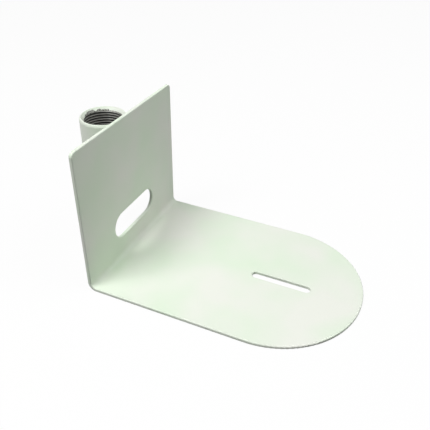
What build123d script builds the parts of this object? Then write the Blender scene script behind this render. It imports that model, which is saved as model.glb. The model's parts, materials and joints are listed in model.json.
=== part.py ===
from build123d import *
import math
import os

# A shelf bracket for a camera that stands at the end of a pipe. One steel sheet is folded to an L: the
# camera stands on the base, and the upright behind it carries a threaded pipe coupling on its back.
#
# Frame: +X points out from the upright along the base, +Y across the bracket to its left, +Z up.
# The origin is on the underside, in the middle of the footprint. All lengths are in millimetres.

# Folded sheet
sheet_thickness = 3.0
plate_width = 140.0
overall_height = 122.0
nose_centre_reach = 128.5
inner_bend_radius = 4.0
top_corner_radius = 4.0
rolled_edge_radius = 0.9

# Slot in the base for the camera's screw, along X
screw_slot_length = 49.0
screw_slot_width = 7.0
screw_slot_reach = 133.5

# Slot in the upright for the camera's cables, along Y
cable_slot_length = 60.0
cable_slot_height = 22.0
cable_slot_centre_height = 31.5
slot_edge_break = 0.5

# Pipe coupling behind the upright
thread_minor_diameter = 30.6
coupling_wall = 3.5
coupling_length = 51.0
coupling_set_down = 5.2
rim_chamfer_width = 0.8
rim_chamfer_depth = 1.7
mouth_chamfer_width = 2.0
mouth_chamfer_depth = 1.7

# Weld beads in the two grooves between the coupling and the upright
weld_toe_distance = 15.2
weld_crown = 0.9
weld_end_gap = 4.0
weld_end_taper = 4.0

# Shares: how much of a wall, or of a bead's run, its rounds and chamfers may take at most, so that a
# thinner wall keeps some of its own face, and how much of a bead's radius is gone at its tapered ends
edge_round_limit = 0.45
rim_chamfer_limit = 0.35
mouth_chamfer_limit = 0.6
weld_taper_limit = 0.4
weld_end_thinning = 0.7

# Two lengths that differ by less than this share count as equal where edges are picked out
length_match = 0.01

# Places that follow from the sizes above
bore_radius = thread_minor_diameter / 2
coupling_radius = bore_radius + coupling_wall
nose_radius = plate_width / 2
footprint_rear = -(sheet_thickness + 2 * coupling_radius)
footprint_front = nose_centre_reach + nose_radius
upright_front_x = -(footprint_rear + footprint_front) / 2
upright_rear_x = upright_front_x - sheet_thickness
coupling_x = upright_rear_x - coupling_radius
coupling_top = overall_height - coupling_set_down
coupling_bottom = coupling_top - coupling_length

os.makedirs("parts", exist_ok=True)


def finish(piece, name):
    """Label a finished piece and write it to its own file."""
    piece.label = name
    export_step(piece, f"parts/{name}.step")
    print(f"{name}: {len(piece.solids())} solid, {piece.volume / 1000:.2f} cm3")


# Folded plate: the side view of the fold, trimmed by the plan view of the base
edge_radius = min(rolled_edge_radius, edge_round_limit * sheet_thickness)

with BuildPart() as bracket_plate:
    with BuildSketch(Plane.XZ) as fold:
        with BuildLine():
            Polyline(
                (upright_rear_x, 0),
                (upright_front_x + footprint_front, 0),
                (upright_front_x + footprint_front, sheet_thickness),
                (upright_front_x, sheet_thickness),
                (upright_front_x, overall_height),
                (upright_rear_x, overall_height),
                close=True,
            )
        make_face()
        at_heel = fold.vertices().sort_by_distance((upright_rear_x, 0, 0))[0]
        fillet(at_heel, inner_bend_radius + sheet_thickness)
        at_corner = fold.vertices().sort_by_distance((upright_front_x, sheet_thickness, 0))[0]
        fillet(at_corner, inner_bend_radius)
    extrude(amount=plate_width / 2, both=True)

    with BuildSketch() as plan:
        with BuildLine():
            start = (upright_rear_x, -nose_radius)
            nose_start = (upright_front_x + nose_centre_reach, -nose_radius)
            nose_tip = (upright_front_x + footprint_front, 0)
            nose_end = (upright_front_x + nose_centre_reach, nose_radius)
            end = (upright_rear_x, nose_radius)
            Line(start, nose_start)
            ThreePointArc(nose_start, nose_tip, nose_end)
            Polyline(nose_end, end, start)
        make_face()
    extrude(amount=overall_height, mode=Mode.INTERSECT)

    top_corners = bracket_plate.edges().filter_by(Axis.X).group_by(Axis.Z)[-1]
    fillet(top_corners, top_corner_radius)

    # The sheared rim is rolled over on both faces. The lines across the fold, and the short ones through
    # the sheet where two walls of the rim run into each other, stay as they are.
    across = bracket_plate.edges().filter_by(Axis.Y)
    top_edges = across.group_by(Axis.Z)[-1]
    lengthways = bracket_plate.edges() - across
    through_sheet = lengthways.filter_by(
        lambda edge: math.isclose(edge.length, sheet_thickness, rel_tol=length_match)
    )
    fillet(lengthways - through_sheet + top_edges, edge_radius)

    screw_slot_plane = Plane(origin=(upright_front_x + screw_slot_reach, 0, 0), z_dir=(0, 0, 1))
    with BuildSketch(screw_slot_plane):
        SlotOverall(screw_slot_length, screw_slot_width)
    extrude(amount=sheet_thickness, mode=Mode.SUBTRACT)
    chamfer(bracket_plate.edges(Select.LAST).filter_by(Axis.Z, reverse=True), slot_edge_break)

    cable_slot_plane = Plane(
        origin=(upright_rear_x, 0, cable_slot_centre_height), x_dir=(0, 1, 0), z_dir=(1, 0, 0)
    )
    with BuildSketch(cable_slot_plane):
        SlotOverall(cable_slot_length, cable_slot_height)
    extrude(amount=sheet_thickness, mode=Mode.SUBTRACT)
    chamfer(bracket_plate.edges(Select.LAST).filter_by(Axis.X, reverse=True), slot_edge_break)

finish(bracket_plate.part, "bracket_plate")

# Pipe coupling: half of its section, turned about its own axis
rim_width = min(rim_chamfer_width, rim_chamfer_limit * coupling_wall)
mouth_width = min(mouth_chamfer_width, mouth_chamfer_limit * coupling_wall)

with BuildPart() as pole_coupling:
    section_plane = Plane(origin=(coupling_x, 0, coupling_bottom), x_dir=(1, 0, 0), z_dir=(0, -1, 0))
    with BuildSketch(section_plane):
        with BuildLine():
            Polyline(
                (bore_radius, mouth_chamfer_depth),
                (bore_radius + mouth_width, 0),
                (coupling_radius - rim_width, 0),
                (coupling_radius, rim_chamfer_depth),
                (coupling_radius, coupling_length - rim_chamfer_depth),
                (coupling_radius - rim_width, coupling_length),
                (bore_radius + mouth_width, coupling_length),
                (bore_radius, coupling_length - mouth_chamfer_depth),
                close=True,
            )
        make_face()
    revolve(axis=Axis((coupling_x, 0, 0), (0, 0, 1)))

finish(pole_coupling.part, "pole_coupling")

# Weld beads: round bars with tapered ends, cut back to the plate and the coupling that they lie against.
# Both toes of a bead lie weld_toe_distance from the line where the coupling touches the plate, one
# measured along the plate and one around the coupling, and the crown stands weld_crown above the chord.
toe_angle = weld_toe_distance / coupling_radius
tube_toe_back = coupling_radius * (1 - math.cos(toe_angle))
tube_toe_side = coupling_radius * math.sin(toe_angle)
toe_gap = weld_toe_distance - tube_toe_side
chord = math.hypot(tube_toe_back, toe_gap)
bead_radius = (chord**2 / 4 + weld_crown**2) / (2 * weld_crown)
sink = bead_radius - weld_crown
bead_back = tube_toe_back / 2 - sink * toe_gap / chord
bead_side = (weld_toe_distance + tube_toe_side) / 2 - sink * tube_toe_back / chord
run_length = coupling_length - 2 * weld_end_gap
run_middle = (coupling_top + coupling_bottom) / 2
taper_length = min(weld_end_taper, weld_taper_limit * run_length)
taper_depth = weld_end_thinning * bead_radius

for side, name in ((1, "weld_bead_left"), (-1, "weld_bead_right")):
    bead_middle = (upright_rear_x - bead_back, side * bead_side, run_middle)
    with BuildPart(Plane(origin=bead_middle, z_dir=(0, 0, 1))) as weld_bead:
        Cylinder(bead_radius, run_length)
        chamfer(weld_bead.edges().filter_by(GeomType.CIRCLE), taper_length, taper_depth)
        split(bisect_by=Plane(origin=(upright_rear_x, 0, 0), z_dir=(-1, 0, 0)), keep=Keep.TOP)
        with BuildSketch(Plane(origin=(coupling_x, 0, coupling_bottom), z_dir=(0, 0, 1))):
            Circle(coupling_radius)
        extrude(amount=coupling_length, mode=Mode.SUBTRACT)
    finish(weld_bead.part, name)
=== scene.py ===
# %% [markdown]
# # A camera bracket for the end of a pipe
#
# The real object is a folded steel sheet with a pipe coupling welded to its back, all under one white
# powder coat. This lesson dresses the finished solids: it keeps the folded sheet as it is, and makes a
# coupling with a true screw thread, two rippled weld beads, the coat of paint, a studio and a camera.
#
# The solids come first, because every later piece takes its size and place from them.

import json
import math

import bpy
import numpy as np
from mathutils import Matrix, Vector


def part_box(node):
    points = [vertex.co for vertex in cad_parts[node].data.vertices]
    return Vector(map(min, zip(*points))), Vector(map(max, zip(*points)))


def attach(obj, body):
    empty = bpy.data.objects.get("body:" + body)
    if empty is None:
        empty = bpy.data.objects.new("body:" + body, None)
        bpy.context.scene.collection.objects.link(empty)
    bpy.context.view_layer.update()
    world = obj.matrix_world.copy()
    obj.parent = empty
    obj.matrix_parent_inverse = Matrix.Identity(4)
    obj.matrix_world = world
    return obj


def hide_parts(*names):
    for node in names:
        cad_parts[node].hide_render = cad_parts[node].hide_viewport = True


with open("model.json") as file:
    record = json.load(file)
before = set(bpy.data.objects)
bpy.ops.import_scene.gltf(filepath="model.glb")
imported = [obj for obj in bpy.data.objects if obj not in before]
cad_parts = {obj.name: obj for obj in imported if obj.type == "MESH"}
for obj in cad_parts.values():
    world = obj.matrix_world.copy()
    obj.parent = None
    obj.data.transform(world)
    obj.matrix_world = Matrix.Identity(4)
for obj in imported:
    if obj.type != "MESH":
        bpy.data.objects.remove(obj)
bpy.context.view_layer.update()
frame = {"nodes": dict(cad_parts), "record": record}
nodes = frame["nodes"]
mounts = {mount["name"]: mount for mount in frame["record"]["mounts"]}

# %% [markdown]
# ## Read the sizes off the solids
#
# Typing the sizes again would let the two models drift apart. So the upright's faces, the coupling's axis
# and the grooves where the welds lie are all worked out from the solids' boxes and from the record.

# %% Sizes in metres
MM = 0.001
CUBIC_CM = 1e-6

plate_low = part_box("bracket_plate")[0]
tube_low, tube_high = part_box("pole_coupling")
bead_low, bead_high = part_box("weld_bead_left")

sheet = mounts["camera_seat"]["pos_m"][2]
upright_rear = plate_low.x
upright_front = upright_rear + sheet
tube_x = (tube_low.x + tube_high.x) / 2
tube_radius = (tube_high.y - tube_low.y) / 2
bore_radius = mounts["pipe_thread"]["dims"]["r_mm"] * MM
tube_bottom, tube_top = tube_low.z, tube_high.z
mouth_chamfer_depth = (tube_top - tube_bottom - mounts["pipe_thread"]["dims"]["length_mm"] * MM) / 2
print(f"sheet {sheet / MM:.2f} mm thick, upright's front at x {upright_front / MM:.2f} mm")
print(f"coupling radius {tube_radius / MM:.2f} mm, bore radius {bore_radius / MM:.2f} mm")

# %% [markdown]
# ## The camera
#
# The camera stands where the photographer stood. Its angles and distance were solved from the straight
# edges, the round nose and the slots, as anyone can do with one picture of a thing with square corners.
# It is placed from the middle of the fold, so that the numbers say something: a quarter of a right angle
# round from straight in front of the long side, rather more than a third of one above it, and half a
# metre off. Two more lengths slide it right and up without turning it.

# %% Camera
IMAGE_PIXELS = 430
SENSOR_WIDTH = 36.0
FOCAL_PIXELS = 543.28
VIEW_AZIMUTH = math.radians(23.469)
VIEW_ELEVATION = math.radians(34.923)
VIEW_ROLL = math.radians(1.051)
VIEW_DISTANCE = 481.1 * MM
AIM_RIGHT = 68.85 * MM
AIM_UP = 21.10 * MM


def view_axes(azimuth, elevation, roll):
    """The camera's right, up and backward directions.

    Backward leans up by the elevation and turns by the azimuth from straight in front of the long side.
    Right is level and across it, up is their cross product, and the roll then turns those two together.
    """
    backward = Vector((
        math.sin(azimuth) * math.cos(elevation),
        -math.cos(azimuth) * math.cos(elevation),
        math.sin(elevation),
    ))
    level = Vector((math.cos(azimuth), math.sin(azimuth), 0.0))
    upward = backward.cross(level)
    right = level * math.cos(roll) + upward * math.sin(roll)
    up = upward * math.cos(roll) - level * math.sin(roll)
    return right, up, backward


right, up, backward = view_axes(VIEW_AZIMUTH, VIEW_ELEVATION, VIEW_ROLL)
fold_middle = Vector((upright_front, 0.0, sheet))
eye = fold_middle + right * AIM_RIGHT + up * AIM_UP + backward * VIEW_DISTANCE

camera = bpy.data.objects.new("camera", bpy.data.cameras.new("camera"))
camera.data.sensor_width = SENSOR_WIDTH
camera.data.lens = SENSOR_WIDTH * FOCAL_PIXELS / IMAGE_PIXELS
camera.matrix_world = Matrix.Translation(eye) @ Matrix((right, up, backward)).transposed().to_4x4()
bpy.context.scene.collection.objects.link(camera)
bpy.context.scene.camera = camera
bpy.context.scene.view_settings.view_transform = "Standard"
print("camera at", [round(c / MM, 1) for c in eye], "mm, lens", round(camera.data.lens, 2), "mm")

# %% [markdown]
# ## The studio
#
# A white thing on white paper needs soft light that is not the same from every side, or its faces melt
# into each other. The base's top is the brightest face and the upright's front is half as bright, so most
# of the light comes from high up. The key lamp stands behind the near end of the upright, so that the
# upright's soft shadow darkens the base towards the fold, and a wedge of light falls through the cable
# slot. The fill is wider and nearer, and stands in front of the upright. The floor and the sky show white
# to the camera and to reflections, and what lights the object is the two lamps, the floor's dark grey and
# a faint sky. Where the camera sees the floor, lit paper gives a twentieth of its white and a glow gives
# the rest, so the object's shadow on it is no more than a trace.

# %% Studio helpers
def new_material(name):
    """A new material with an empty node tree: returns the material, the tree and its output node."""
    material = bpy.data.materials.new(name)
    material.use_nodes = True
    tree = material.node_tree
    tree.nodes.clear()
    return material, tree, tree.nodes.new("ShaderNodeOutputMaterial")


def add_node(tree, kind, x, y, **settings):
    """Adds a node at a place on the node board and sets its plain settings."""
    node = tree.nodes.new(kind)
    node.location = (x, y)
    for key, value in settings.items():
        setattr(node, key, value)
    return node


def seen_directly(tree):
    """A value of 1 for rays from the camera, mirrors and glass, and 0 for the rays that light things."""
    path = add_node(tree, "ShaderNodeLightPath", -900, 300)
    mirror = add_node(tree, "ShaderNodeMath", -700, 300, operation="MAXIMUM")
    glass = add_node(tree, "ShaderNodeMath", -500, 300, operation="MAXIMUM")
    tree.links.new(path.outputs["Is Camera Ray"], mirror.inputs[0])
    tree.links.new(path.outputs["Is Glossy Ray"], mirror.inputs[1])
    tree.links.new(mirror.outputs[0], glass.inputs[0])
    tree.links.new(path.outputs["Is Transmission Ray"], glass.inputs[1])
    return glass.outputs[0]


# %% Floor
FLOOR_HALF = 6.0
FLOOR_GAP = 0.05 * MM
FLOOR_GREY = 0.15
FLOOR_WHITE = 0.9
FLOOR_LIFT = 0.95

floor_material, tree, output = new_material("studio_floor")
seen = seen_directly(tree)
shade = add_node(tree, "ShaderNodeMapRange", -500, -100)
shade.inputs["To Min"].default_value = FLOOR_GREY
shade.inputs["To Max"].default_value = FLOOR_WHITE
paper = add_node(tree, "ShaderNodeBsdfDiffuse", -300, -100)
white = add_node(tree, "ShaderNodeEmission", -300, -300)
lift = add_node(tree, "ShaderNodeMath", -300, 300, operation="MULTIPLY")
lift.inputs[1].default_value = FLOOR_LIFT
mix = add_node(tree, "ShaderNodeMixShader", -100, 0)
tree.links.new(seen, shade.inputs["Value"])
tree.links.new(shade.outputs["Result"], paper.inputs["Color"])
tree.links.new(seen, lift.inputs[0])
tree.links.new(lift.outputs[0], mix.inputs[0])
tree.links.new(paper.outputs[0], mix.inputs[1])
tree.links.new(white.outputs[0], mix.inputs[2])
tree.links.new(mix.outputs[0], output.inputs["Surface"])

corner_signs = ((-1, -1), (1, -1), (1, 1), (-1, 1))
floor_corners = [(x * FLOOR_HALF, y * FLOOR_HALF, -FLOOR_GAP) for x, y in corner_signs]
floor_mesh = bpy.data.meshes.new("studio_floor")
floor_mesh.from_pydata(floor_corners, [], [(0, 1, 2, 3)])
floor = bpy.data.objects.new("studio_floor", floor_mesh)
floor.data.materials.append(floor_material)
bpy.context.scene.collection.objects.link(floor)
print("floor of", 2 * FLOOR_HALF, "m square, grey to light", FLOOR_GREY, "and white to the camera")

# %% Sky
SKY_LIGHT = 0.016

world = bpy.data.worlds.new("studio_sky")
world.use_nodes = True
bpy.context.scene.world = world
tree = world.node_tree
tree.nodes.clear()
output = add_node(tree, "ShaderNodeOutputWorld", 300, 0)
grey_sky = add_node(tree, "ShaderNodeBackground", -100, -100)
grey_sky.inputs["Strength"].default_value = SKY_LIGHT
white_sky = add_node(tree, "ShaderNodeBackground", -100, -300)
for background in (grey_sky, white_sky):
    background.inputs["Color"].default_value = (1, 1, 1, 1)
mix = add_node(tree, "ShaderNodeMixShader", 100, 0)
tree.links.new(seen_directly(tree), mix.inputs[0])
tree.links.new(grey_sky.outputs[0], mix.inputs[1])
tree.links.new(white_sky.outputs[0], mix.inputs[2])
tree.links.new(mix.outputs[0], output.inputs["Surface"])
print("sky lights with", SKY_LIGHT, "and shows white")

# %% Lamps
LIT_POINT = Vector((0.02, 0.0, 0.03))


def lamp_on_dome(name, azimuth, elevation, distance, side, watts):
    """A soft square lamp on a dome over the lit point, turned to face that point.

    Azimuth counts from +X towards +Y and elevation up from the floor, both in degrees. The place is the
    point plus the distance times (cos e cos a, cos e sin a, sin e).
    """
    turn, rise = math.radians(azimuth), math.radians(elevation)
    level = Vector((math.cos(turn), math.sin(turn), 0)) * math.cos(rise)
    place = LIT_POINT + (level + Vector((0, 0, math.sin(rise)))) * distance
    lamp = bpy.data.objects.new(name, bpy.data.lights.new(name, "AREA"))
    lamp.data.shape = "SQUARE"
    lamp.data.size = side
    lamp.data.energy = watts
    lamp.location = place
    lamp.rotation_euler = (LIT_POINT - place).to_track_quat("-Z", "Y").to_euler()
    bpy.context.scene.collection.objects.link(lamp)
    return lamp


lamps = [
    lamp_on_dome("key", azimuth=236, elevation=57, distance=1.3, side=0.6, watts=13.6),
    lamp_on_dome("fill", azimuth=25, elevation=55, distance=1.2, side=0.8, watts=7.3),
]
print("lamps:", [(lamp.name, [round(c, 2) for c in lamp.location]) for lamp in lamps])

# %% [markdown]
# ## The powder coat
#
# Powder paint is sprayed dry and baked, and it sets with a faint orange peel: low waves about a
# millimetre apart. It is never one flat colour either. A slow noise carries this white from a greenish
# to a creamier tint. The same coat covers every piece, so its colours, gloss and waves are made once, in
# a node group, and each material places that group with its own colours.

# %% Helpers for colours and noises
# A noise mostly lies near 0.5, so only the middle of its range is stretched over a change of finish.
NOISE_RANGE = (0.3, 0.7)
NOISE_MIDDLE = (0.35, 0.65)


def noise(tree, x, y, vector, per_metre, detail=2.0, roughness=0.5):
    """A cloud noise on the given coordinates, with so many lumps to the metre."""
    node = add_node(tree, "ShaderNodeTexNoise", x, y)
    node.inputs["Scale"].default_value = per_metre
    node.inputs["Detail"].default_value = detail
    node.inputs["Roughness"].default_value = roughness
    tree.links.new(vector, node.inputs["Vector"])
    return node.outputs["Fac"]


def remap(tree, x, y, value, low, high, to_low, to_high):
    """Carries a value from one range to another, and holds it at the ends."""
    node = add_node(tree, "ShaderNodeMapRange", x, y)
    tree.links.new(value, node.inputs["Value"])
    for name, number in (("From Min", low), ("From Max", high), ("To Min", to_low), ("To Max", to_high)):
        node.inputs[name].default_value = number
    return node.outputs["Result"]


def mix_colours(tree, x, y, factor, first, second):
    """Mixes two colours, each a socket or three numbers."""
    node = add_node(tree, "ShaderNodeMix", x, y, data_type="RGBA")
    tree.links.new(factor, node.inputs["Factor"])
    for name, colour in (("A", first), ("B", second)):
        socket = next(s for s in node.inputs if s.name == name and s.type == "RGBA")
        if isinstance(colour, bpy.types.NodeSocket):
            tree.links.new(colour, socket)
        else:
            socket.default_value = (*colour, 1.0)
    return next(s for s in node.outputs if s.type == "RGBA")


# %% The coat's node group
CLOUD_PER_METRE = 16.0
PEEL_PER_METRE = 850.0
GRAIN_PER_METRE = 3200.0
GRAIN_SHARE = 0.25
COAT_ROUGHNESS = (0.40, 0.50)


def make_coat_group():
    """The powder coat's colour, roughness and height, which change slowly and finely over the surface.

    Colour goes between the coat and its tint with a slow noise. Height is the orange peel, one noise of
    about a millimetre, plus a grain about a quarter as high and as wide. Roughness follows the grain.
    """
    group = bpy.data.node_groups.new("powder_coat", "ShaderNodeTree")
    for name in ("Coat", "Tint"):
        group.interface.new_socket(name, in_out="INPUT", socket_type="NodeSocketColor")
    group.interface.new_socket("Color", in_out="OUTPUT", socket_type="NodeSocketColor")
    for name in ("Roughness", "Height"):
        group.interface.new_socket(name, in_out="OUTPUT", socket_type="NodeSocketFloat")
    given = add_node(group, "NodeGroupInput", -900, 200)
    result = add_node(group, "NodeGroupOutput", 500, 0)
    place = add_node(group, "ShaderNodeTexCoord", -900, -100).outputs["Object"]

    slow = noise(group, -650, 200, place, CLOUD_PER_METRE)
    clouds = remap(group, -400, 200, slow, *NOISE_MIDDLE, 0, 1)
    colour = mix_colours(group, 100, 200, clouds, given.outputs["Coat"], given.outputs["Tint"])
    peel = noise(group, -650, -100, place, PEEL_PER_METRE, detail=1.0)
    grain = noise(group, -650, -400, place, GRAIN_PER_METRE)
    height = add_node(group, "ShaderNodeMath", -150, -250, operation="MULTIPLY_ADD")
    height.inputs[1].default_value = GRAIN_SHARE
    group.links.new(grain, height.inputs[0])
    group.links.new(peel, height.inputs[2])
    roughness = remap(group, 100, -100, grain, *NOISE_RANGE, *COAT_ROUGHNESS)
    group.links.new(colour, result.inputs["Color"])
    group.links.new(roughness, result.inputs["Roughness"])
    group.links.new(height.outputs[0], result.inputs["Height"])
    return group


coat_group = make_coat_group()
print("coat group puts out:", [s.name for s in coat_group.interface.items_tree if s.in_out == "OUTPUT"])

# %% The coat as a material
COAT_WHITE = (0.755, 0.870, 0.710)
COAT_TINT = (0.845, 0.866, 0.795)
PEEL_HEIGHT = 0.03 * MM
PEEL_STRENGTH = 1.0


def coated(tree, x, y):
    """The powder coat's group and a shader that takes its waves: returns both, with the rest unlinked."""
    coat = add_node(tree, "ShaderNodeGroup", x, y, node_tree=coat_group)
    coat.inputs["Coat"].default_value = (*COAT_WHITE, 1)
    coat.inputs["Tint"].default_value = (*COAT_TINT, 1)
    bump = add_node(tree, "ShaderNodeBump", x + 250, y - 200)
    bump.inputs["Distance"].default_value = PEEL_HEIGHT
    bump.inputs["Strength"].default_value = PEEL_STRENGTH
    shader = add_node(tree, "ShaderNodeBsdfPrincipled", x + 500, y)
    tree.links.new(coat.outputs["Height"], bump.inputs["Height"])
    tree.links.new(bump.outputs["Normal"], shader.inputs["Normal"])
    return coat, shader


coat_material, tree, output = new_material("white_powder_coat")
coat, shader = coated(tree, -600, 0)
tree.links.new(coat.outputs["Color"], shader.inputs["Base Color"])
tree.links.new(coat.outputs["Roughness"], shader.inputs["Roughness"])
tree.links.new(shader.outputs[0], output.inputs["Surface"])

plate = nodes["bracket_plate"]
plate.data.materials.clear()
plate.data.materials.append(coat_material)
print("bracket_plate keeps its solid's mesh:", len(plate.data.polygons), "triangles")

# %% [markdown]
# ## Surfaces from grids
#
# Each new piece is one closed skin. Its points are worked out as whole arrays on a grid, and a weld of
# equal points then closes the seams, the poles and every place where rows run together. One function
# does that for all the pieces, so that a grid may be sheared or pinched without leaving a hole.

# %% From grid to mesh
WELD_DISTANCE = 1e-7
CREASE_ANGLE = math.radians(35)


def weld_points(points, faces):
    """Makes points that lie in one place one point, and drops the triangles that this leaves without area.

    Returns the points, the triangles, and which of the given points each new point is.
    """
    keys = np.round(points / WELD_DISTANCE).astype(np.int64)
    _, first, number = np.unique(keys, axis=0, return_index=True, return_inverse=True)
    faces = number.reshape(-1)[faces]
    keep = (faces[:, 0] != faces[:, 1]) & (faces[:, 1] != faces[:, 2]) & (faces[:, 2] != faces[:, 0])
    return points[first], faces[keep], first


def triangles_of(quads):
    """Each four-cornered face, given by its corners in order, as two triangles."""
    return np.concatenate([quads[:, [0, 1, 2]], quads[:, [0, 2, 3]]])


def build_piece(name, points, faces, material, crease_angle=CREASE_ANGLE):
    """A mesh object from welded points and triangles: smooth, with sharp edges past the crease angle."""
    mesh = bpy.data.meshes.new(name)
    mesh.vertices.add(len(points))
    mesh.vertices.foreach_set("co", points.astype(np.float32).ravel())
    mesh.loops.add(3 * len(faces))
    mesh.loops.foreach_set("vertex_index", faces.astype(np.int32).ravel())
    mesh.polygons.add(len(faces))
    mesh.polygons.foreach_set("loop_start", np.arange(0, 3 * len(faces), 3, dtype=np.int32))
    mesh.update(calc_edges=True)
    mesh.validate()
    mesh.polygons.foreach_set("use_smooth", np.ones(len(mesh.polygons), dtype=bool))
    mesh.set_sharp_from_angle(angle=crease_angle)
    mesh.materials.append(material)
    piece = bpy.data.objects.new(name, mesh)
    bpy.context.scene.collection.objects.link(piece)
    return piece


def enclosed_volume(points, faces):
    """The volume inside a closed skin of triangles: positive when its faces point outwards.

    It is a sixth of the sum over the triangles of one corner times the cross product of the other two.
    """
    a, b, c = points[faces[:, 0]], points[faces[:, 1]], points[faces[:, 2]]
    return float((a * np.cross(b, c)).sum() / 6)


# %% [markdown]
# ## The coupling and its thread
#
# A pipe thread is a groove wound round the bore, 11.5 turns to the inch for this pipe, with flanks at 60
# degrees to each other. A rope-like sweep of the groove would need cutting out of the bore with a
# boolean, which is slow and leaves ragged triangles. Here the bore's radius is simply a function of angle
# and height, and the grid's rows climb with the helix, one pitch for each turn, so that every ridge runs
# along a row and stays crisp. Where a row would climb past the mouth it is held at the mouth, and the
# weld of equal points makes the run-out clean. Paint fills the groove next to the mouth, so the groove
# only gets its full depth a little further in.

# %% The thread as a function
INCH_IN_MM = 25.4
TURNS_AN_INCH = 11.5
THREAD_PITCH = INCH_IN_MM / TURNS_AN_INCH * MM
PIPE_OUTSIDE = 33.4 * MM
FLANK_SLOPE = math.tan(math.radians(30))
MOUTH_FLARE = 2.0 * MM
CONE_DEPTH = 2.8 * MM
GROOVE_STARTS = 2.4 * MM
GROOVE_IS_FULL = 3.3 * MM
ROWS_A_TURN = 12
RIDGE_ROW = 2
COLUMNS = 180

groove_depth = PIPE_OUTSIDE / 2 - bore_radius
flank_share = groove_depth * FLANK_SLOPE / THREAD_PITCH
crest_share = (1 - 2 * flank_share) / 2


def thread_radius(turns):
    """The bore's radius by place across one pitch, from 0 to 1.

    The ridge's flat top, at the minor radius, is centred on 0. A flank leads down from it to the groove's
    flat bottom, centred on a half, and the other flank leads up again.
    """
    from_ridge = np.abs((turns + 0.5) % 1 - 0.5)
    down = np.clip((from_ridge - crest_share / 2) / flank_share, 0, 1)
    return bore_radius + groove_depth * down


def bore_skin():
    """The bore's points and triangles, with each point's height, angle and place in the groove.

    A row is a place across the thread, and climbs one pitch in a turn. The groove's depth grows from
    nothing to full between two distances from the nearer mouth. Each mouth is opened out by a cone, and
    the bore is as wide as the thread or the cone, whichever is wider there. The place in the groove is 0
    on a ridge and 1 on a groove's floor.
    """
    rows_high = int(math.ceil((tube_top - tube_bottom) / THREAD_PITCH) + 1) * ROWS_A_TURN
    row, column = np.meshgrid(np.arange(rows_high + 1), np.arange(COLUMNS), indexing="ij")
    angle = 2 * np.pi * column / COLUMNS
    turns = row / ROWS_A_TURN - 1
    height = np.clip(tube_bottom + THREAD_PITCH * (turns + column / COLUMNS), tube_bottom, tube_top)
    across = (height - tube_bottom) / THREAD_PITCH - column / COLUMNS - RIDGE_ROW / ROWS_A_TURN
    from_mouth = np.minimum(height - tube_bottom, tube_top - height)
    share = np.clip((from_mouth - GROOVE_STARTS) / (GROOVE_IS_FULL - GROOVE_STARTS), 0, 1)
    cut = bore_radius + (thread_radius(across) - bore_radius) * share
    cone = bore_radius + MOUTH_FLARE * (1 - from_mouth / CONE_DEPTH)
    in_groove = np.where(cut > cone, (cut - bore_radius) / groove_depth, 0)
    radius = np.maximum(cut, cone)
    at_mouth = (height <= tube_bottom) | (height >= tube_top)
    radius = np.where(at_mouth, bore_radius + MOUTH_FLARE, radius)

    here = np.arange(rows_high * COLUMNS).reshape(rows_high, COLUMNS)
    above = here + COLUMNS
    later = np.roll(here, -1, axis=1)
    later[:, -1] = np.minimum(np.arange(rows_high) + ROWS_A_TURN, rows_high) * COLUMNS
    later_above = np.roll(above, -1, axis=1)
    later_above[:, -1] = np.minimum(np.arange(rows_high) + 1 + ROWS_A_TURN, rows_high) * COLUMNS
    quads = np.stack([here, above, later_above, later], axis=-1).reshape(-1, 4)
    points = np.stack([tube_x + radius * np.cos(angle), radius * np.sin(angle), height], axis=-1)
    return points.reshape(-1, 3), triangles_of(quads), height.ravel(), angle.ravel(), in_groove.ravel()


# %% The outside of the coupling
RIM_CHAMFER_WIDTH = 0.8 * MM
RIM_CHAMFER_DEPTH = 1.7 * MM
EDGE_SOFTNESS = 0.35 * MM
ARC_STEPS = 4


def softened(corner, before, after, radius):
    """Points of a round corner: a quadratic arc that leaves one line and joins the next, a radius away."""
    start = corner + (before - corner) / np.linalg.norm(before - corner) * radius
    end = corner + (after - corner) / np.linalg.norm(after - corner) * radius
    t = np.linspace(0, 1, ARC_STEPS + 1)[:, None]
    return (1 - t) ** 2 * start + 2 * t * (1 - t) * corner + t**2 * end


def shell_skin():
    """The coupling's outside, from mouth to mouth: its half section, with soft corners, turned round.

    The section is a list of radius and height, and a turned point is radius times the cosine and sine of
    its angle. The first and last rings are the bore's own, so that the weld closes the two skins.
    """
    flare = bore_radius + MOUTH_FLARE
    corners = np.array([
        (flare, tube_top),
        (tube_radius - RIM_CHAMFER_WIDTH, tube_top),
        (tube_radius, tube_top - RIM_CHAMFER_DEPTH),
        (tube_radius, tube_bottom + RIM_CHAMFER_DEPTH),
        (tube_radius - RIM_CHAMFER_WIDTH, tube_bottom),
        (flare, tube_bottom),
    ])
    rounds = [softened(corners[i], corners[i - 1], corners[i + 1], EDGE_SOFTNESS) for i in range(1, 5)]
    section = np.concatenate([corners[:1], *rounds, corners[-1:]])
    angle = 2 * np.pi * np.arange(COLUMNS) / COLUMNS
    radius, turn = np.meshgrid(section[:, 0], angle, indexing="ij")
    height = np.repeat(section[:, 1:], COLUMNS, axis=1)
    points = np.stack([tube_x + radius * np.cos(turn), radius * np.sin(turn), height], axis=-1)
    here = np.arange((len(section) - 1) * COLUMNS).reshape(-1, COLUMNS)
    beside = np.roll(here, -1, axis=1)
    quads = np.stack([here, here + COLUMNS, beside + COLUMNS, beside], axis=-1)
    return points.reshape(-1, 3), triangles_of(quads.reshape(-1, 4)), height.ravel(), turn.ravel()


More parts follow.
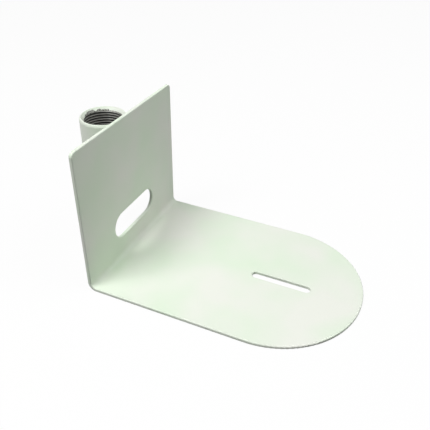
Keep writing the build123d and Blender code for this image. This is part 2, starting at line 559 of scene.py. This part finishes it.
bore_points, bore_faces, bore_height, bore_angle, bore_groove = bore_skin()
shell_points, shell_faces, shell_height, shell_angle = shell_skin()
tube_points, tube_faces, kept = weld_points(
    np.concatenate([bore_points, shell_points]),
    np.concatenate([bore_faces, shell_faces + len(bore_points)]),
)
tube_volume = enclosed_volume(tube_points, tube_faces)
print(f"coupling: {len(tube_faces)} triangles, {tube_volume / CUBIC_CM:.2f} cm3")

# %% [markdown]
# ## Where the coat ends in the bore
#
# The thread was plugged or chased after painting, so it is bare steel. The white coat ends in a torn edge
# a few millimetres inside the mouth, and between the tear and the first full groove lies a thin, grey,
# speckled overspray. Painting a black ring would look drawn. Instead each point carries how far it lies
# past both edges, and the material adds a fine noise to those distances before it changes from one
# finish to the next, so the edges are ragged at any size.

# %% How far each point lies past the two edges
COAT_EDGE = (
    # angle in degrees round the coupling, depth of the coat's torn edge below the mouth in millimetres
    (76, 3.1),
    (94, 3.0),
    (104, 2.6),
    (112, 1.9),
    (130, 1.8),
    (137, 1.3),
    (146, 2.4),
    (154, 1.0),
    (172, 0.9),
    (184, 1.9),
    (190, 2.2),
    (197, 3.6),
    (204, 4.6),
    (300, 3.4),
)
OVERSPRAY_EDGE = 3.2 * MM
OVERSPRAY_LEAST = 0.15 * MM


def past_both_edges(height, angle, in_bore):
    """Metres past the coat's torn edge and past the overspray's edge, positive further in.

    Both are the depth below the nearer mouth less the edge's own depth. The coat's edge goes straight
    from each angle of the list to the next, all the way round, and the overspray ends a little below it
    at least. Outside the bore both stay below zero, which is coat.
    """
    depth = np.minimum(height - tube_bottom, tube_top - height)
    angles, depths = np.array(COAT_EDGE).T
    coat_edge = np.interp(np.degrees(angle), angles, depths * MM, period=360)
    spray_edge = np.maximum(OVERSPRAY_EDGE, coat_edge + OVERSPRAY_LEAST)
    return [np.where(in_bore, depth - edge, -mouth_chamfer_depth) for edge in (coat_edge, spray_edge)]


in_bore = np.concatenate([np.ones(len(bore_height), bool), np.zeros(len(shell_height), bool)])
past_coat, past_spray = past_both_edges(
    np.concatenate([bore_height, shell_height]), np.concatenate([bore_angle, shell_angle]), in_bore
)
layers = {
    "past_coat_edge": past_coat[kept],
    "past_overspray_edge": past_spray[kept],
    "groove": np.concatenate([bore_groove, np.zeros(len(shell_height))])[kept],
}
print("points above zero:", {name: int((values > 0).sum()) for name, values in layers.items()})

# %% The coupling's material: coat outside, overspray at the tear, bare steel in the thread with painted shade in its grooves
STEEL = (0.40, 0.40, 0.37)
STEEL_DARK = (0.30, 0.30, 0.28)
STEEL_ROUGHNESS = 0.38
STAIN_PER_METRE = 260.0
# Painted shade: a near-black that darkens the thread's grooves towards their floors, where shade falls.
GROOVE_PAINTED_SHADE = (0.05, 0.05, 0.045)
OVERSPRAY = (0.27, 0.28, 0.245)
SPECK = (0.03, 0.03, 0.028)
SPECK_PER_METRE = 1500.0
SPECK_RANGE = (0.52, 0.58)
TEAR_PER_METRE = 1100.0
TEAR_DEPTH = 0.55 * MM
EDGE_BLUR = 0.04 * MM

tube_material, tree, output = new_material("coat_torn_at_the_thread")
coat, shader = coated(tree, -200, 0)
place = add_node(tree, "ShaderNodeTexCoord", -1600, 0).outputs["Object"]
ragged = noise(tree, -1400, 100, place, TEAR_PER_METRE, detail=3.0, roughness=0.6)
tear = remap(tree, -1150, 100, ragged, *NOISE_RANGE, -TEAR_DEPTH, TEAR_DEPTH)


def past_torn(layer_name, x, y):
    """A mask of 1 past the edge whose distance the named layer holds, torn by the noise."""
    distance = add_node(tree, "ShaderNodeAttribute", x - 650, y, attribute_name=layer_name)
    torn = add_node(tree, "ShaderNodeMath", x - 200, y, operation="ADD")
    tree.links.new(distance.outputs["Fac"], torn.inputs[0])
    tree.links.new(tear, torn.inputs[1])
    return remap(tree, x, y, torn.outputs[0], -EDGE_BLUR, EDGE_BLUR, 0, 1)


off_coat = past_torn("past_coat_edge", -750, 400)
bare = past_torn("past_overspray_edge", -750, 700)
specks = noise(tree, -1400, -450, place, SPECK_PER_METRE, detail=1.0)
speckled = remap(tree, -1150, -450, specks, *SPECK_RANGE, 0, 1)
overspray = mix_colours(tree, -750, -450, speckled, OVERSPRAY, SPECK)
stained = noise(tree, -1400, -200, place, STAIN_PER_METRE, detail=3.0, roughness=0.6)
stain = remap(tree, -1150, -200, stained, *NOISE_MIDDLE, 0, 1)
clean_steel = mix_colours(tree, -950, -100, stain, STEEL, STEEL_DARK)
# Each point's place in the groove mixes the steel towards the painted shade, so it is darkest on a
# groove's floor.
groove = add_node(tree, "ShaderNodeAttribute", -1150, -700, attribute_name="groove")
steel = mix_colours(tree, -750, -100, groove.outputs["Fac"], clean_steel, GROOVE_PAINTED_SHADE)
painted = mix_colours(tree, -150, 350, off_coat, coat.outputs["Color"], overspray)
colour = mix_colours(tree, 50, 350, bare, painted, steel)
roughness = add_node(tree, "ShaderNodeMix", 50, 100, data_type="FLOAT")
roughness.inputs["B"].default_value = STEEL_ROUGHNESS
tree.links.new(bare, roughness.inputs["Factor"])
tree.links.new(coat.outputs["Roughness"], roughness.inputs["A"])
tree.links.new(colour, shader.inputs["Base Color"])
tree.links.new(roughness.outputs["Result"], shader.inputs["Roughness"])
tree.links.new(bare, shader.inputs["Metallic"])
tree.links.new(shader.outputs[0], output.inputs["Surface"])

coupling = build_piece("threaded_coupling", tube_points, tube_faces, tube_material)
for layer_name, values in layers.items():
    layer = coupling.data.attributes.new(layer_name, "FLOAT", "POINT")
    layer.data.foreach_set("value", values.astype(np.float32))
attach(coupling, "root")
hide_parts("pole_coupling")

# %% [markdown]
# ## The weld beads
#
# A weld bead is laid as a row of molten drops, and each one freezes as a low crescent that overlaps the
# last. So the bead is a section carried down the groove between coupling and upright: a bulging face from
# toe to toe, with the two sides lying on the parts. The crescents are a sine whose lower half is folded
# up, so that round humps meet in sharp valleys. Both toes wander by a few tenths of a millimetre, as a
# hand does.

# %% The bead as a function
TOE_WANDER = 0.30 * MM
WANDER_LENGTHS = np.array([7.3, 12.9, 21.7]) * MM
WANDER_STARTS = np.array([0.0, 1.9, 4.1])
OTHER_TOE_START = 2.6
RIPPLE_PITCH = 2.9 * MM
RIPPLE_HEIGHT = 0.30 * MM
RIPPLE_SAG = 1.3 * MM
CROWN = 0.75 * MM
BEAD_ROUND_END = 3.5 * MM
BEAD_SINK = 0.05 * MM
BEAD_CREASE_ANGLE = math.radians(50)
BEAD_ROWS = 220
BEAD_FACE_POINTS = 25
BEAD_SIDE_POINTS = 8
# In plan, as x and y: back from the upright and out to the side.
OUT_OF_GROOVE = np.array([-1.0, 1.0])
# Keeps a chord without length from being divided by zero.
NEXT_TO_NOTHING = 1e-12

toe_back = bead_high.x - bead_low.x
toe_angle = math.acos(1 - toe_back / tube_radius)
toe_distance = tube_radius * toe_angle
groove_start = bead_low.y
print(f"weld toes lie {toe_distance / MM:.1f} mm from the line of contact")


def wander(height, seed):
    """A slow sideways drift of a toe along the bead: the mean of three sines of unlike lengths."""
    starts = WANDER_STARTS + seed
    waves = [np.sin(2 * np.pi * height / t + s) for t, s in zip(WANDER_LENGTHS, starts)]
    return TOE_WANDER * np.mean(waves, axis=0)


def bead_skin(side, seed):
    """The closed skin of one bead. Rows go up the groove and columns round the section.

    At height z the toes lie a distance d from the line of contact, straight along the upright and round
    the coupling. At each end d shrinks, as round as a circle, to where the bead starts in the groove. The
    face is the straight line between the toes, raised by a parabola times the crown and the crescents.
    From there the section closes in along the coupling and out along the upright.
    """
    height = np.linspace(bead_low.z, bead_high.z, BEAD_ROWS)
    from_end = np.minimum(height - bead_low.z, bead_high.z - height)
    fullness = np.sqrt(1 - (1 - np.clip(from_end / BEAD_ROUND_END, 0, 1)) ** 2)
    reach = (toe_distance - groove_start) * fullness
    plate_toe = groove_start + reach + wander(height, seed) * fullness
    tube_toe = groove_start + reach + wander(height, seed + OTHER_TOE_START) * fullness

    def on_plate(d):
        return np.stack([np.full_like(d, upright_rear + BEAD_SINK), d], axis=-1)

    def on_tube(d):
        radius, turn = tube_radius - BEAD_SINK, d / tube_radius
        return np.stack([tube_x + radius * np.cos(turn), radius * np.sin(turn)], axis=-1)

    across = np.linspace(0, 1, BEAD_FACE_POINTS)[None, :, None]
    first, last = on_plate(plate_toe)[:, None], on_tube(tube_toe)[:, None]
    chord = last - first
    outward = np.stack([chord[..., 1], -chord[..., 0]], axis=-1)
    outward = outward / (np.linalg.norm(outward, axis=-1, keepdims=True) + NEXT_TO_NOTHING)
    outward = outward * np.sign((outward * OUT_OF_GROOVE).sum(-1, keepdims=True) + NEXT_TO_NOTHING)
    phase = (height[:, None, None] + RIPPLE_SAG * (2 * across - 1) ** 2) / RIPPLE_PITCH + seed
    crescents = RIPPLE_HEIGHT * np.abs(np.sin(np.pi * phase))
    bulge = 4 * across * (1 - across) * (CROWN + crescents) * fullness[:, None, None]
    face = first + across * chord + outward * bulge

    inward = np.linspace(1, 0, BEAD_SIDE_POINTS + 1)[1:]
    steps_in = [groove_start + (tube_toe - groove_start) * t for t in inward]
    steps_out = [groove_start + (plate_toe - groove_start) * t for t in inward[::-1]]
    tube_side = np.stack([on_tube(d) for d in steps_in], axis=1)
    plate_side = np.stack([on_plate(d) for d in steps_out], axis=1)
    section = np.concatenate([face, tube_side, plate_side[:, :-1]], axis=1)
    section[[0, -1]] = section[[0, -1]].mean(axis=1, keepdims=True)
    levels = np.broadcast_to(height[:, None, None], section.shape[:2] + (1,))
    points = np.concatenate([section, levels], axis=-1)
    points[..., 1] *= side

    rows, columns = section.shape[:2]
    here = np.arange((rows - 1) * columns).reshape(rows - 1, columns)
    beside = np.roll(here, -1, axis=1)
    quads = np.stack([here, beside, beside + columns, here + columns], axis=-1).reshape(-1, 4)
    points, faces, _ = weld_points(points.reshape(-1, 3), triangles_of(quads))
    return points, faces if enclosed_volume(points, faces) > 0 else faces[:, ::-1]


# %% Both beads
for name, node, side, seed in (
    ("rippled_bead_left", "weld_bead_left", 1, 0.0),
    ("rippled_bead_right", "weld_bead_right", -1, 1.7),
):
    points, faces = bead_skin(side, seed)
    bead = build_piece(name, points, faces, coat_material, BEAD_CREASE_ANGLE)
    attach(bead, "root")
    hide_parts(node)
    print(f"{name}: {len(faces)} triangles, {enclosed_volume(points, faces) / CUBIC_CM:.2f} cm3")
